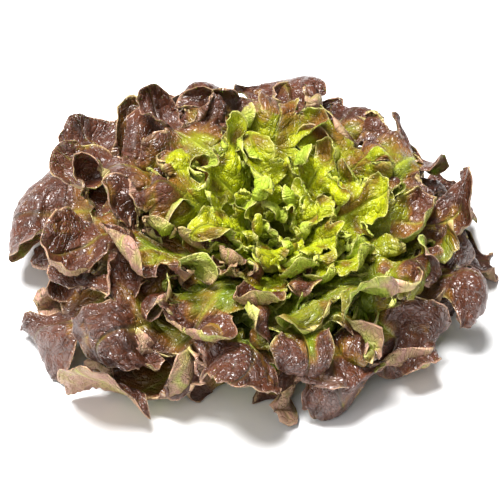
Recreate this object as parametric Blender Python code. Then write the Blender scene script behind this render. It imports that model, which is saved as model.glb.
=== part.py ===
# A head of red oak leaf lettuce, as cut: a short stem that carries a spiral of lobed leaves.
# Metres, +Z up, origin at the middle of the stem's cut face. The head leans towards its front, -Y.
#
# Every leaf lies near its own shell of one family of nested shells. The family is numbered by
# depth, from 0 for the lowest, outermost leaf to 1 for the innermost. Shells of different depth
# never meet, and the waves that all leaves share change their depth, reach and azimuth smoothly,
# so leaves with flat lobes stay apart. Each lobe is then rolled up or down out of its leaf's shell
# as far as the leaves round it leave room.

import math

import bpy
import numpy as np
from mathutils.bvhtree import BVHTree

# The spiral of leaves
LEAF_COUNT = 48
OUTER_COUNT = 17
MIDDLE_COUNT = 12
GOLDEN_ANGLE = math.radians(137.508)
FIRST_AZIMUTH = math.radians(235)
AZIMUTH_JITTER = math.radians(8)
MORE_JITTER = math.radians(1)
LENGTH_SPREAD = (0.95, 1.06)

# Thicknesses and gaps
BLADE_THICKNESS = 0.0008
RIB_THICKNESS = 0.0016
BASE_GAP = 0.0006
CLEARANCE = 0.0005
LOWEST_LEAF_POINT = 0.0004
FLOOR_EASING = 0.005

# The stem's outline: radius and height, from the cut face up to the growing point
STEM_OUTLINE = (
    (0.0140, 0.0),
    (0.0152, 0.0012),
    (0.0158, 0.0060),
    (0.0152, 0.0160),
    (0.0126, 0.0270),
    (0.0082, 0.0360),
    (0.0040, 0.0425),
)
STEM_TOP = 0.0450
STEM_SIDES = 20

# How the shells change from the outside of the head to the heart, at four depths
DEPTH_KEYS = (0.0, 0.35, 0.7, 1.0)
FOOT_HEIGHT = (0.0075, 0.0190, 0.0300, 0.0395)
REACH = (0.130, 0.116, 0.080, 0.024)
RISE_AT_FOOT = tuple(math.radians(a) for a in (15, 42, 68, 88))
RISE_AT_TIP = tuple(math.radians(a) for a in (-3, 20, 42, 92))
RISE_POWER = 1.2
RIM_SAG = 0.006
DEPTH_EASING = 0.97

# The lean of the head, and the longer leaves at its back
LEAN = math.radians(27)
LEAN_TOWARDS = math.radians(292)
LEAN_HEIGHT = 0.018
LEAN_POWER = 1.5
LEAN_FADE = (0.01, 0.05)
UNEVEN_GROWTH = 0.12
SHORTEST_TOWARDS = math.radians(-55)

# Lobes along each side of a leaf, as shares of its length:
# start, end, half width at the start, half width at the end, bulge of the lobe, rows of faces
LARGE_LEAF = (
    (0.00, 0.18, 0.070, 0.062, 0.00, 1),
    (0.18, 0.36, 0.062, 0.080, 0.15, 3),
    (0.36, 0.56, 0.080, 0.095, 0.30, 4),
    (0.56, 0.76, 0.095, 0.090, 0.33, 4),
    (0.76, 1.00, 0.090, 0.050, 0.21, 4),
)
SMALL_LEAF = (
    (0.00, 0.16, 0.100, 0.100, 0.00, 1),
    (0.16, 0.36, 0.100, 0.110, 0.16, 3),
    (0.36, 0.57, 0.110, 0.120, 0.26, 4),
    (0.57, 0.78, 0.120, 0.110, 0.24, 4),
    (0.78, 1.00, 0.110, 0.050, 0.13, 3),
)
LOBE_FULLNESS = 0.65
ACROSS = np.array((-1.0, -0.52, 0.0, 0.52, 1.0))
FORWARD_SWEEP = (0.35, 0.65)
SWEEP_POWER = 1.6
SWEEP_FADE = 3
WIDEST_WRAP = math.radians(62)

# Waves that all leaves share: a seed, then turns round the head, per metre of reach and per depth
DEPTH_WAVE = 0.070
DEPTH_WAVES = (11, (3, 5, 7, 9, 12), (30, 55, 20, 70, 90), (3, 4, 6, 4, 5))
TURN_WAVE = math.radians(4)
TURN_WAVES = (12, (2, 4, 6, 7), (60, 30, 80, 50), (6, 9, 5, 8))
REACH_WAVE = 0.05
REACH_WAVES = (13, (3, 4, 6, 8), (20, 50, 35, 60), (7, 5, 9, 8))
WAVE_FADE = (0.018, 0.075)
FLOOR_CALM, FLOOR_CALM_FADE = 0.4, 6.0

# The most that a lobe rolls, for the outermost and the innermost leaf, in steps from one leaf to
# the next, and the shares of it that are tried in turn until the leaf is clear
LOBE_ROLL = (8.0, 5.0)
LOBE_TWIST = (4.0, 3.0)
TIP_ROLL = (4.0, 2.0)
LEAST_ROLL = 0.6
TIP_BEND = (0.6, 1.1)
ROLL_SHORTENS = 0.005
SHARES_TRIED = (1.0, -1.0, 0.65, -0.65, 0.4, -0.4, 0.2, -0.2, 0.0)
MOST_DRAWS = 40

LEAF_COLOURS = {
    "outer_leaf": (0.105, 0.035, 0.032),
    "middle_leaf": (0.190, 0.085, 0.035),
    "heart_leaf": (0.350, 0.480, 0.045),
}
LEAF_ROUGHNESS = 0.38
STEM_COLOUR = (0.640, 0.640, 0.400)
STEM_ROUGHNESS = 0.55


def smooth_step(low, high, value):
    t = np.clip((value - low) / (high - low), 0.0, 1.0)
    return t * t * (3.0 - 2.0 * t)


def through_keys(values):
    """The cubic of depth that passes through the four key values."""
    return np.poly1d(np.polyfit(DEPTH_KEYS, values, 3))


foot_height = through_keys(FOOT_HEIGHT)
full_reach = through_keys(REACH)
rise_at_foot = through_keys(RISE_AT_FOOT)
rise_at_tip = through_keys(RISE_AT_TIP)


def stem_radius(height):
    radii, heights = zip(*STEM_OUTLINE)
    return np.interp(height, heights, radii)


def foot_radius(depth):
    """Where a leaf starts: just clear of the stem, with room for the thickness of its rib."""
    rib = BLADE_THICKNESS + RIB_THICKNESS * full_reach(depth) / REACH[0]
    return stem_radius(foot_height(depth)) + BASE_GAP + rib / 2 * np.sin(rise_at_foot(depth))


class Waves:
    """A smooth field over azimuth, reach and depth: a sum of sine waves with seeded phases."""

    def __init__(self, seed, turns, per_reach, per_depth):
        draw = np.random.default_rng(seed)
        self.turns = turns
        self.per_reach = [k * draw.choice((-1, 1)) for k in per_reach]
        self.per_depth = [k * draw.choice((-1, 1)) for k in per_depth]
        self.phases = draw.uniform(0, 2 * math.pi, len(turns))

    def at(self, azimuth, reach, depth):
        rows = zip(self.turns, self.per_reach, self.per_depth, self.phases)
        parts = [np.sin(m * azimuth + k * reach + q * depth + p) for m, k, q, p in rows]
        return sum(parts) / math.sqrt(len(self.turns))


depth_waves = Waves(*DEPTH_WAVES)
turn_waves = Waves(*TURN_WAVES)
reach_waves = Waves(*REACH_WAVES)


def shell_point(depth, reach, azimuth):
    """A point of the head: how deep its shell lies, how far from the stem, and where round it."""
    swing = smooth_step(*WAVE_FADE, reach)
    azimuth = azimuth + TURN_WAVE * swing * turn_waves.at(azimuth, reach, depth)
    reach = reach * (1 + REACH_WAVE * swing * reach_waves.at(azimuth, reach, depth))
    reach = reach * (1 - UNEVEN_GROWTH * np.cos(azimuth - SHORTEST_TOWARDS))
    calm = np.clip(FLOOR_CALM + FLOOR_CALM_FADE * depth, FLOOR_CALM, 1.0)
    depth = below_one(depth + DEPTH_WAVE * swing * calm * depth_waves.at(azimuth, reach, depth))
    along = (reach / full_reach(depth)) ** RISE_POWER
    rise = rise_at_foot(depth) + (rise_at_tip(depth) - rise_at_foot(depth)) * along
    out = foot_radius(depth) + reach * np.cos(rise)
    up = foot_height(depth) + reach * np.sin(rise) - RIM_SAG * (out / REACH[0]) ** 2
    point = np.stack([out * np.cos(azimuth), out * np.sin(azimuth), up], axis=-1)
    return above_floor(leaned(point))


def below_one(depth):
    """Eases depths near the heart so that no shell lies beyond depth 1."""
    room = 1 - DEPTH_EASING
    eased = 1 - room * np.exp(-np.maximum(depth - DEPTH_EASING, 0) / room)
    return np.where(depth > DEPTH_EASING, eased, depth)


def leaned(point):
    """Tips the head over, not at all at the floor and by the full lean near the axis."""
    ahead, aside = math.cos(LEAN_TOWARDS), math.sin(LEAN_TOWARDS)
    front = point[..., 0] * ahead + point[..., 1] * aside
    across = point[..., 1] * ahead - point[..., 0] * aside
    up = point[..., 2] - LEAN_HEIGHT
    far = np.sqrt(front**2 + across**2 + up**2) + 1e-9
    turn = LEAN * np.clip(up / far, 0, 1) ** LEAN_POWER * smooth_step(*LEAN_FADE, far)
    tipped = front * np.cos(turn) + up * np.sin(turn)
    up = up * np.cos(turn) - front * np.sin(turn)
    x = tipped * ahead - across * aside
    y = tipped * aside + across * ahead
    return np.stack([x, y, up + LEAN_HEIGHT], axis=-1)


def above_floor(point):
    """Eases heights under FLOOR_EASING towards the lowest height that a leaf's middle may have."""
    lowest = LOWEST_LEAF_POINT + BLADE_THICKNESS
    room = FLOOR_EASING - lowest
    z = point[..., 2]
    eased = FLOOR_EASING - room * (1 - np.exp(np.minimum(z - FLOOR_EASING, 0) / room))
    point[..., 2] = np.where(z < FLOOR_EASING, eased, z)
    return point


def outline_rows(lobes, length):
    """Distance along the midrib, half width, lobe number, arch and skew of each row of a leaf.

    The arch is 0 between lobes and 1 in the middle of one; the skew swings from one flank of a
    lobe to the other."""
    rows = []
    for number, (start, end, width_start, width_end, bulge, cuts) in enumerate(lobes):
        for cut in range(0 if number == 0 else 1, cuts + 1):
            share = cut / cuts
            arch = max(math.sin(math.pi * share), 0.0) ** LOBE_FULLNESS
            along = start + (end - start) * share
            width = width_start + (width_end - width_start) * share + bulge * arch
            skew = -math.sin(2 * math.pi * share)
            rows.append((along * length, width * length, number, arch, skew))
    return [np.array(column, float) for column in zip(*rows)]


def new_leaf(order, attempt):
    """One leaf with flat lobes, and the roll that each side of each lobe would take with room."""
    draw = np.random.default_rng((order, attempt))
    depth = (order + 0.5) / LEAF_COUNT
    lobes = LARGE_LEAF if order < OUTER_COUNT + MIDDLE_COUNT else SMALL_LEAF
    most_roll, most_twist, most_tip = (np.interp(depth, (0, 1), s) for s in (LOBE_ROLL, LOBE_TWIST, TIP_ROLL))
    jitter = AZIMUTH_JITTER + MORE_JITTER * attempt
    shape = (2, len(lobes))
    return {
        "depth": depth,
        "lobes": lobes,
        "length": full_reach(depth) * draw.uniform(*LENGTH_SPREAD),
        "azimuth": FIRST_AZIMUTH + order * GOLDEN_ANGLE + jitter * draw.uniform(-1, 1),
        "sweep": draw.uniform(*FORWARD_SWEEP, 2),
        "roll": most_roll * draw.choice((-1, 1), shape) * draw.uniform(LEAST_ROLL, 1, shape),
        "twist": most_twist * draw.uniform(-1, 1, shape),
        "tip": most_tip * draw.uniform(-1, 1),
        "share": np.zeros(shape),
        "tip_share": np.zeros(1),
    }


def leaf_surface(leaf):
    """The grid of points on the middle surface of one leaf, the thickness at each, and whether the
    leaf grows narrower from each row to the next."""
    depth, length = leaf["depth"], leaf["length"]
    along, half_width, lobe, arch, skew = (row[:, None] for row in outline_rows(leaf["lobes"], length))
    side = (ACROSS > 0).astype(int)
    number = lobe.astype(int)
    roll = (leaf["roll"] * leaf["share"])[side, number] * arch
    roll = roll + (leaf["twist"] * leaf["share"])[side, number] * skew
    roll = roll * ACROSS**2 + leaf["tip"] * leaf["tip_share"] * smooth_step(*TIP_BEND, along / length)

    offset = half_width * ACROSS * (1 - ROLL_SHORTENS * roll**2)
    widest = half_width.max()
    sweep = leaf["sweep"][side] * (1 - (along / length) ** SWEEP_FADE)
    reach = along + sweep * widest * (np.abs(offset) / widest) ** SWEEP_POWER
    to_tip = np.clip(reach / length, 0, 1)
    rise = rise_at_foot(depth) + (rise_at_tip(depth) - rise_at_foot(depth)) * to_tip
    radius = foot_radius(depth) + reach * np.cos(rise)
    azimuth = leaf["azimuth"] + WIDEST_WRAP * np.tanh(offset / radius / WIDEST_WRAP)
    fade_start, fade_end = WAVE_FADE
    roll = roll * smooth_step(fade_start, fade_end * length / REACH[0], reach)
    points = shell_point(depth + roll / LEAF_COUNT, reach, azimuth)
    rib = RIB_THICKNESS * length / REACH[0] * (1 - to_tip) * (1 - np.abs(ACROSS))
    return points, BLADE_THICKNESS + rib, np.diff(half_width[:, 0]) < 0


def sheet_triangles(columns, narrowing):
    """Triangles over a leaf's grid of points: each four corners are split by an edge that runs
    outwards along the flank of their lobe."""
    triangles = []
    for row, closing in enumerate(narrowing):
        for column in range(columns - 1):
            a = row * columns + column
            b, c, d = a + 1, a + columns + 1, a + columns
            left = column < columns // 2
            triangles += [(a, b, c), (a, c, d)] if left != closing else [(a, b, d), (b, c, d)]
    return np.array(triangles)


def rim_of(rows, columns):
    """The points round the edge of the grid, in order."""
    grid = np.arange(rows * columns).reshape(rows, columns)
    return np.concatenate([grid[:, 0], grid[-1, 1:], grid[-2::-1, -1], grid[0, -2:0:-1]])


def point_normals(points, triangles):
    """The mean of the normals of the triangles round each point."""
    a, b, c = (points[triangles[:, corner]] for corner in range(3))
    faces = np.cross(b - a, c - a)
    faces /= np.linalg.norm(faces, axis=-1, keepdims=True)
    normals = np.zeros_like(points)
    for corner in range(3):
        np.add.at(normals, triangles[:, corner], faces)
    return normals / np.linalg.norm(normals, axis=-1, keepdims=True)


def blade(leaf, extra=0.0):
    """The points and the faces of one leaf's solid, thicker by a little extra: its upper face,
    half the thickness off the middle surface, its lower face, split alike, and its rim."""
    points, thickness, narrowing = leaf_surface(leaf)
    rows, columns = points.shape[:2]
    points = points.reshape(-1, 3)
    upper = sheet_triangles(columns, narrowing)
    half = point_normals(points, upper) * (thickness.reshape(-1, 1) + extra) / 2
    here = rim_of(rows, columns)
    there = np.roll(here, -1)
    under = len(points)
    sides = [(here, there, under + there), (here, under + there, under + here)]
    faces = [upper, under + upper[:, ::-1]] + [np.stack(side, axis=-1) for side in sides]
    return np.concatenate([points + half, points - half]).tolist(), np.concatenate(faces).tolist()


def leaf_tree(leaf, extra):
    return BVHTree.FromPolygons(*blade(leaf, extra))


def is_clear(leaf, others):
    """Whether the leaf crosses neither the others nor itself."""
    trees = (leaf_tree(leaf, CLEARANCE), leaf_tree(leaf, 0.0))
    return not any(tree.overlap(other) for tree in trees for other in (*others, tree))


def flat_leaves(stem_tree):
    """Every leaf with flat lobes, each drawn again until it is clear of the stem and of the
    leaves before it."""
    leaves = []
    placed = [stem_tree]
    for order in range(LEAF_COUNT):
        for attempt in range(MOST_DRAWS):
            leaf = new_leaf(order, attempt)
            if is_clear(leaf, placed):
                break
        leaves.append(leaf)
        placed.append(leaf_tree(leaf, CLEARANCE))
    return leaves


def roll_as_far_as_clear(leaf, shares, place, others):
    for share in SHARES_TRIED:
        shares[place] = share
        if is_clear(leaf, others):
            break


def roll_lobes(leaves, stem_tree):
    """Leaf after leaf, rolls the tip and then each lobe, as far as the other leaves leave room."""
    trees = [leaf_tree(leaf, CLEARANCE) for leaf in leaves]
    for order, leaf in enumerate(leaves):
        others = [stem_tree] + trees[:order] + trees[order + 1 :]
        roll_as_far_as_clear(leaf, leaf["tip_share"], 0, others)
        for lobe in reversed(range(1, len(leaf["lobes"]))):
            for side in (0, 1):
                roll_as_far_as_clear(leaf, leaf["share"], (side, lobe), others)
        trees[order] = leaf_tree(leaf, CLEARANCE)


def leaf_mesh(name, leaf):
    points, faces = blade(leaf)
    mesh = bpy.data.meshes.new(name)
    mesh.from_pydata(points, [], faces)
    return mesh


def stem_mesh(name):
    """The stem's outline turned about Z, closed by its cut face and by a point at the top."""
    vertices = [(0.0, 0.0, 0.0)]
    for radius, height in STEM_OUTLINE:
        for side in range(STEM_SIDES):
            turn = 2 * math.pi * side / STEM_SIDES
            vertices.append((radius * math.cos(turn), radius * math.sin(turn), height))
    vertices.append((0.0, 0.0, STEM_TOP))
    top = len(vertices) - 1
    last_ring = 1 + (len(STEM_OUTLINE) - 1) * STEM_SIDES
    faces = []
    for side in range(STEM_SIDES):
        after = (side + 1) % STEM_SIDES
        faces.append((0, 1 + after, 1 + side))
        faces.append((last_ring + side, last_ring + after, top))
        for ring in range(len(STEM_OUTLINE) - 1):
            low = 1 + ring * STEM_SIDES
            high = low + STEM_SIDES
            faces.append((low + side, low + after, high + after))
            faces.append((low + side, high + after, high + side))
    mesh = bpy.data.meshes.new(name)
    mesh.from_pydata(leaned(np.array(vertices)).tolist(), [], faces)
    return mesh


def tree_of(mesh):
    return BVHTree.FromPolygons([v.co for v in mesh.vertices], [p.vertices for p in mesh.polygons])


def material(name, colour, roughness):
    made = bpy.data.materials.new(name)
    made.use_nodes = True
    shader = made.node_tree.nodes["Principled BSDF"]
    shader.inputs["Base Color"].default_value = (*colour, 1.0)
    shader.inputs["Roughness"].default_value = roughness
    return made


def add(name, mesh, finish):
    mesh.materials.append(finish)
    mesh.shade_smooth()
    bpy.context.scene.collection.objects.link(bpy.data.objects.new(name, mesh))


def leaf_kind(order):
    """Leaves are numbered within their kind, from the outside of the head inwards."""
    if order < OUTER_COUNT:
        return "outer_leaf", order + 1
    if order < OUTER_COUNT + MIDDLE_COUNT:
        return "middle_leaf", order - OUTER_COUNT + 1
    return "heart_leaf", order - OUTER_COUNT - MIDDLE_COUNT + 1


def main():
    for old in list(bpy.data.objects):
        bpy.data.objects.remove(old)
    stem = stem_mesh("stem")
    add("stem", stem, material("stem", STEM_COLOUR, STEM_ROUGHNESS))
    finishes = {kind: material(kind, colour, LEAF_ROUGHNESS) for kind, colour in LEAF_COLOURS.items()}
    leaves = flat_leaves(tree_of(stem))
    roll_lobes(leaves, tree_of(stem))
    for order, leaf in enumerate(leaves):
        kind, number = leaf_kind(order)
        name = f"{kind}_{number:02d}"
        add(name, leaf_mesh(name, leaf), finishes[kind])


main()
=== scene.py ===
# A head of red oak leaf lettuce: finer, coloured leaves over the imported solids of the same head.

import math

import bpy
import numpy as np
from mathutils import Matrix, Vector
from mathutils.bvhtree import BVHTree


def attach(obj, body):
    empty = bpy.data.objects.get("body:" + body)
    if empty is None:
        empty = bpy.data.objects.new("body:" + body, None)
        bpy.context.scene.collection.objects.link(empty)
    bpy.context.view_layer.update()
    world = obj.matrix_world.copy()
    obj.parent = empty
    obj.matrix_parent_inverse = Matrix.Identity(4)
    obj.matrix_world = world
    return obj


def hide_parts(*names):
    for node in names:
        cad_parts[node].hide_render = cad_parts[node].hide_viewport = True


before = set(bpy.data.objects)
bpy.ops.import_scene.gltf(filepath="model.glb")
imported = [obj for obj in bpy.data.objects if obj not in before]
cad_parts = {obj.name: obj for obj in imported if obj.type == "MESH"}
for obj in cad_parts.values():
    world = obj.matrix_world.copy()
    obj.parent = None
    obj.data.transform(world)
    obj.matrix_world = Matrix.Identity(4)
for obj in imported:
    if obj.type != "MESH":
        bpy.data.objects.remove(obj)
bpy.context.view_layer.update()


# The head: where its leaves sit, as in the solids

head = {
    "leafCount": 48, "outerCount": 17, "middleCount": 12,  # the rest is the heart
    "goldenAngle": math.radians(137.508), "firstAzimuth": math.radians(235),
    "azimuthJitter": math.radians(8), "moreJitter": math.radians(1), "lengthSpread": (0.95, 1.06),
    "blade": 0.0008, "rib": 0.0016, "baseGap": 0.0006, "clearance": 0.0005,
    "lowest": 0.0004, "floorEasing": 0.005,
    "depthKeys": (0.0, 0.35, 0.7, 1.0), "footHeight": (0.0075, 0.0190, 0.0300, 0.0395),
    "reach": (0.130, 0.116, 0.080, 0.024), "riseAtFoot": (15, 42, 68, 88),
    "riseAtTip": (-3, 20, 42, 92), "risePower": 1.2, "rimSag": 0.006, "depthEasing": 0.97,
    "lean": math.radians(27), "leanTowards": math.radians(292), "leanHeight": 0.018,
    "leanPower": 1.5, "leanFade": (0.01, 0.05),
    "unevenGrowth": 0.12, "shortestTowards": math.radians(-55),
    "sweep": (0.35, 0.65), "sweepPower": 1.6, "sweepFade": 3, "widestWrap": math.radians(62),
    "depthWave": 0.070, "turnWave": math.radians(4), "reachWave": 0.05, "waveFade": (0.018, 0.075),
    "floorCalm": 0.4, "floorCalmFade": 6.0,
    "lobeRoll": (8.0, 5.0), "lobeTwist": (4.0, 3.0), "tipRoll": (4.0, 2.0), "leastRoll": 0.6,
    "tipBend": (0.6, 1.1), "rollShortens": 0.005,
    "sharesTried": (1.0, -1.0, 0.65, -0.65, 0.4, -0.4, 0.2, -0.2, 0.0), "mostDraws": 40,
    # along a leaf: start, end, half width at start and end, bulge of the lobe, rows of the solid
    "largeLeaf": ((0.00, 0.18, 0.070, 0.062, 0.00, 1), (0.18, 0.36, 0.062, 0.080, 0.15, 3),
                  (0.36, 0.56, 0.080, 0.095, 0.30, 4), (0.56, 0.76, 0.095, 0.090, 0.33, 4),
                  (0.76, 1.00, 0.090, 0.050, 0.21, 4)),
    "smallLeaf": ((0.00, 0.16, 0.100, 0.100, 0.00, 1), (0.16, 0.36, 0.100, 0.110, 0.16, 3),
                  (0.36, 0.57, 0.110, 0.120, 0.26, 4), (0.57, 0.78, 0.120, 0.110, 0.24, 4),
                  (0.78, 1.00, 0.110, 0.050, 0.13, 3)),
    "lobeFullness": 0.65, "across": np.array((-1.0, -0.52, 0.0, 0.52, 1.0)),
}

stump = {
    "outline": ((0.0140, 0.0), (0.0152, 0.0012), (0.0158, 0.0060), (0.0152, 0.0160),
                (0.0126, 0.0270), (0.0082, 0.0360), (0.0040, 0.0425)),
    "top": 0.0450,
    "sides": 20,
}


def smoothStep(low, high, value):
    t = np.clip((value - low) / (high - low), 0.0, 1.0)
    return t * t * (3.0 - 2.0 * t)


def throughKeys(values):  # the cubic of depth through four key values
    return np.poly1d(np.polyfit(head["depthKeys"], values, 3))


footHeight = throughKeys(head["footHeight"])
fullReach = throughKeys(head["reach"])
riseAtFoot = throughKeys([math.radians(a) for a in head["riseAtFoot"]])
riseAtTip = throughKeys([math.radians(a) for a in head["riseAtTip"]])


def stemRadius(height):
    radii, heights = zip(*stump["outline"])
    return np.interp(height, heights, radii)


def footRadius(depth):
    rib = head["blade"] + head["rib"] * fullReach(depth) / head["reach"][0]
    return stemRadius(footHeight(depth)) + head["baseGap"] + rib / 2 * np.sin(riseAtFoot(depth))


def waves(seed, turns, perReach, perDepth):
    # a sum of sine waves over azimuth, reach and depth, with seeded signs and phases
    draw = np.random.default_rng(seed)
    perReach = [k * draw.choice((-1, 1)) for k in perReach]
    perDepth = [k * draw.choice((-1, 1)) for k in perDepth]
    phases = draw.uniform(0, 2 * math.pi, len(turns))

    def at(azimuth, reach, depth):
        rows = zip(turns, perReach, perDepth, phases)
        parts = [np.sin(m * azimuth + k * reach + q * depth + p) for m, k, q, p in rows]
        return sum(parts) / math.sqrt(len(turns))
    return at


depthWaves = waves(11, (3, 5, 7, 9, 12), (30, 55, 20, 70, 90), (3, 4, 6, 4, 5))
turnWaves = waves(12, (2, 4, 6, 7), (60, 30, 80, 50), (6, 9, 5, 8))
reachWaves = waves(13, (3, 4, 6, 8), (20, 50, 35, 60), (7, 5, 9, 8))


def belowOne(depth):
    room = 1 - head["depthEasing"]
    eased = 1 - room * np.exp(-np.maximum(depth - head["depthEasing"], 0) / room)
    return np.where(depth > head["depthEasing"], eased, depth)


def leaned(point):
    # turns each point about the lean's axis, by more the nearer it is to straight above the foot
    ahead, aside = math.cos(head["leanTowards"]), math.sin(head["leanTowards"])
    front = point[..., 0] * ahead + point[..., 1] * aside
    across = point[..., 1] * ahead - point[..., 0] * aside
    up = point[..., 2] - head["leanHeight"]
    far = np.sqrt(front**2 + across**2 + up**2) + 1e-9
    turn = head["lean"] * np.clip(up / far, 0, 1) ** head["leanPower"]
    turn = turn * smoothStep(*head["leanFade"], far)
    tipped = front * np.cos(turn) + up * np.sin(turn)
    up = up * np.cos(turn) - front * np.sin(turn)
    x = tipped * ahead - across * aside
    y = tipped * aside + across * ahead
    return np.stack([x, y, up + head["leanHeight"]], axis=-1)


def aboveFloor(point):
    lowest = head["lowest"] + head["blade"]
    room = head["floorEasing"] - lowest
    z = point[..., 2]
    eased = head["floorEasing"] - room * (1 - np.exp(np.minimum(z - head["floorEasing"], 0) / room))
    point[..., 2] = np.where(z < head["floorEasing"], eased, z)
    return point


def shellPoint(depth, reach, azimuth):
    # a point of the nested shells: reach metres out from the stem, at an azimuth, on the shell of
    # that depth, after the waves that all the leaves share and the lean of the head
    swing = smoothStep(*head["waveFade"], reach)
    azimuth = azimuth + head["turnWave"] * swing * turnWaves(azimuth, reach, depth)
    reach = reach * (1 + head["reachWave"] * swing * reachWaves(azimuth, reach, depth))
    reach = reach * (1 - head["unevenGrowth"] * np.cos(azimuth - head["shortestTowards"]))
    calm = np.clip(head["floorCalm"] + head["floorCalmFade"] * depth, head["floorCalm"], 1.0)
    depth = belowOne(depth + head["depthWave"] * swing * calm * depthWaves(azimuth, reach, depth))
    along = (reach / fullReach(depth)) ** head["risePower"]
    rise = riseAtFoot(depth) + (riseAtTip(depth) - riseAtFoot(depth)) * along
    out = footRadius(depth) + reach * np.cos(rise)
    up = footHeight(depth) + reach * np.sin(rise) - head["rimSag"] * (out / head["reach"][0]) ** 2
    point = np.stack([out * np.cos(azimuth), out * np.sin(azimuth), up], axis=-1)
    return aboveFloor(leaned(point))


def outlineRows(lobes, length, finer=1, rounded=False):
    # row by row up the leaf: distance along it, half width, lobe number, arch (0 between lobes, 1
    # in the middle of one), skew (from one flank of a lobe to the other) and share of the lobe.
    # Rounded lobes are half ellipses, with their rows closer together at both ends
    rows = []
    for number, (start, end, widthStart, widthEnd, bulge, cuts) in enumerate(lobes):
        steps = cuts * finer
        share = np.arange(0 if number == 0 else 1, steps + 1) / steps
        if rounded:
            share = (1 - np.cos(np.pi * share)) / 2
        arch = np.maximum(np.sin(np.pi * share), 0.0) ** head["lobeFullness"]
        swell = 2 * np.sqrt(share * (1 - share)) if rounded else arch
        along = (start + (end - start) * share) * length
        width = (widthStart + (widthEnd - widthStart) * share + bulge * swell) * length
        skew = -np.sin(2 * np.pi * share)
        rows.append(np.stack([along, width, np.full(len(share), float(number)), arch, skew, share]))
    return [row[:, None] for row in np.concatenate(rows, axis=1)]


def newLeaf(order, attempt):
    draw = np.random.default_rng((order, attempt))
    depth = (order + 0.5) / head["leafCount"]
    isHeart = order >= head["outerCount"] + head["middleCount"]
    lobes = head["smallLeaf" if isHeart else "largeLeaf"]
    mostRoll, mostTwist, mostTip = (
        np.interp(depth, (0, 1), head[k]) for k in ("lobeRoll", "lobeTwist", "tipRoll"))
    jitter = head["azimuthJitter"] + head["moreJitter"] * attempt
    azimuth = head["firstAzimuth"] + order * head["goldenAngle"]
    shape = (2, len(lobes))
    return {
        "order": order, "depth": depth, "lobes": lobes,
        "length": fullReach(depth) * draw.uniform(*head["lengthSpread"]),
        "azimuth": azimuth + jitter * draw.uniform(-1, 1),
        "sweep": draw.uniform(*head["sweep"], 2),
        "roll": mostRoll * draw.choice((-1, 1), shape) * draw.uniform(head["leastRoll"], 1, shape),
        "twist": mostTwist * draw.uniform(-1, 1, shape),
        "tip": mostTip * draw.uniform(-1, 1),
        "share": np.zeros(shape), "tipShare": np.zeros(1),
    }


def sheetPoint(leaf, x, along, roll, widest):
    # a flat place on the leaf, put on the shells: x across the leaf, along it, and the roll there
    # in steps from one shell to the next. The sides sweep forwards. Returns the point and its reach
    depth, length = leaf["depth"], leaf["length"]
    sweep = leaf["sweep"][(x > 0).astype(int)] * (1 - (along / length) ** head["sweepFade"])
    reach = along + sweep * widest * (np.abs(x) / widest) ** head["sweepPower"]
    toTip = np.clip(reach / length, 0, 1)
    rise = riseAtFoot(depth) + (riseAtTip(depth) - riseAtFoot(depth)) * toTip
    radius = footRadius(depth) + reach * np.cos(rise)
    azimuth = leaf["azimuth"] + head["widestWrap"] * np.tanh(x / radius / head["widestWrap"])
    fadeStart, fadeEnd = head["waveFade"]
    roll = roll * smoothStep(fadeStart, fadeEnd * length / head["reach"][0], reach)
    return shellPoint(depth + roll / head["leafCount"], reach, azimuth), reach


def tipRoll(leaf, along):
    return leaf["tip"] * leaf["tipShare"] * smoothStep(*head["tipBend"], along / leaf["length"])


def leafSurface(leaf, rows, across):
    # the middle surface of the solid's leaf, up the leaf and across it
    along, halfWidth, lobe, arch, skew = rows[:5]
    side, number = (across > 0).astype(int), lobe.astype(int)
    roll = (leaf["roll"] * leaf["share"])[side, number] * arch
    roll = roll + (leaf["twist"] * leaf["share"])[side, number] * skew
    roll = roll * across**2 + tipRoll(leaf, along)
    x = halfWidth * across * (1 - head["rollShortens"] * roll**2)
    return sheetPoint(leaf, x, along, roll, halfWidth.max())


def gridTriangles(rows, columns, closing):
    # two triangles for each square of the grid; the new edge runs outwards along the lobe's flank
    corner = np.arange(rows * columns).reshape(rows, columns)
    a, b, c, d = corner[:-1, :-1], corner[:-1, 1:], corner[1:, 1:], corner[1:, :-1]
    left = np.arange(columns - 1) < columns // 2
    upwards = (left[None, :] != closing[:, None])[..., None]
    first = np.where(upwards, np.stack([a, b, c], -1), np.stack([a, b, d], -1))
    second = np.where(upwards, np.stack([a, c, d], -1), np.stack([b, c, d], -1))
    return np.stack([first, second], axis=2).reshape(-1, 3)


def gridRim(rows, columns):
    grid = np.arange(rows * columns).reshape(rows, columns)
    return np.concatenate([grid[:, 0], grid[-1, 1:], grid[-2::-1, -1], grid[0, -2:0:-1]])


def pointNormals(points, triangles):
    # the mean of the unit normals of the triangles round each point
    a, b, c = (points[triangles[:, k]] for k in range(3))
    faces = np.cross(b - a, c - a)
    faces /= np.linalg.norm(faces, axis=-1, keepdims=True) + 1e-20
    normals = np.zeros_like(points)
    for k in range(3):
        np.add.at(normals, triangles[:, k], faces)
    return normals / (np.linalg.norm(normals, axis=-1, keepdims=True) + 1e-20)


def closedBlade(points, thickness, closing):
    # two faces, half the thickness off the middle surface on both sides, and the rim between. The
    # grid's normals point down, so the first half of the points is the underside
    rows, columns = points.shape[:2]
    middle = points.reshape(-1, 3)
    under = gridTriangles(rows, columns, closing)
    half = pointNormals(middle, under) * thickness.reshape(-1, 1) / 2
    here = gridRim(rows, columns)
    there = np.roll(here, -1)
    count = len(middle)
    sides = [(here, there, count + there), (here, count + there, count + here)]
    faces = [under, count + under[:, ::-1]] + [np.stack(s, axis=-1) for s in sides]
    return np.concatenate([middle + half, middle - half]), np.concatenate(faces)


# Each lobe is rolled as far as the leaves round it leave room, by the same search as the solids'

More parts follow.
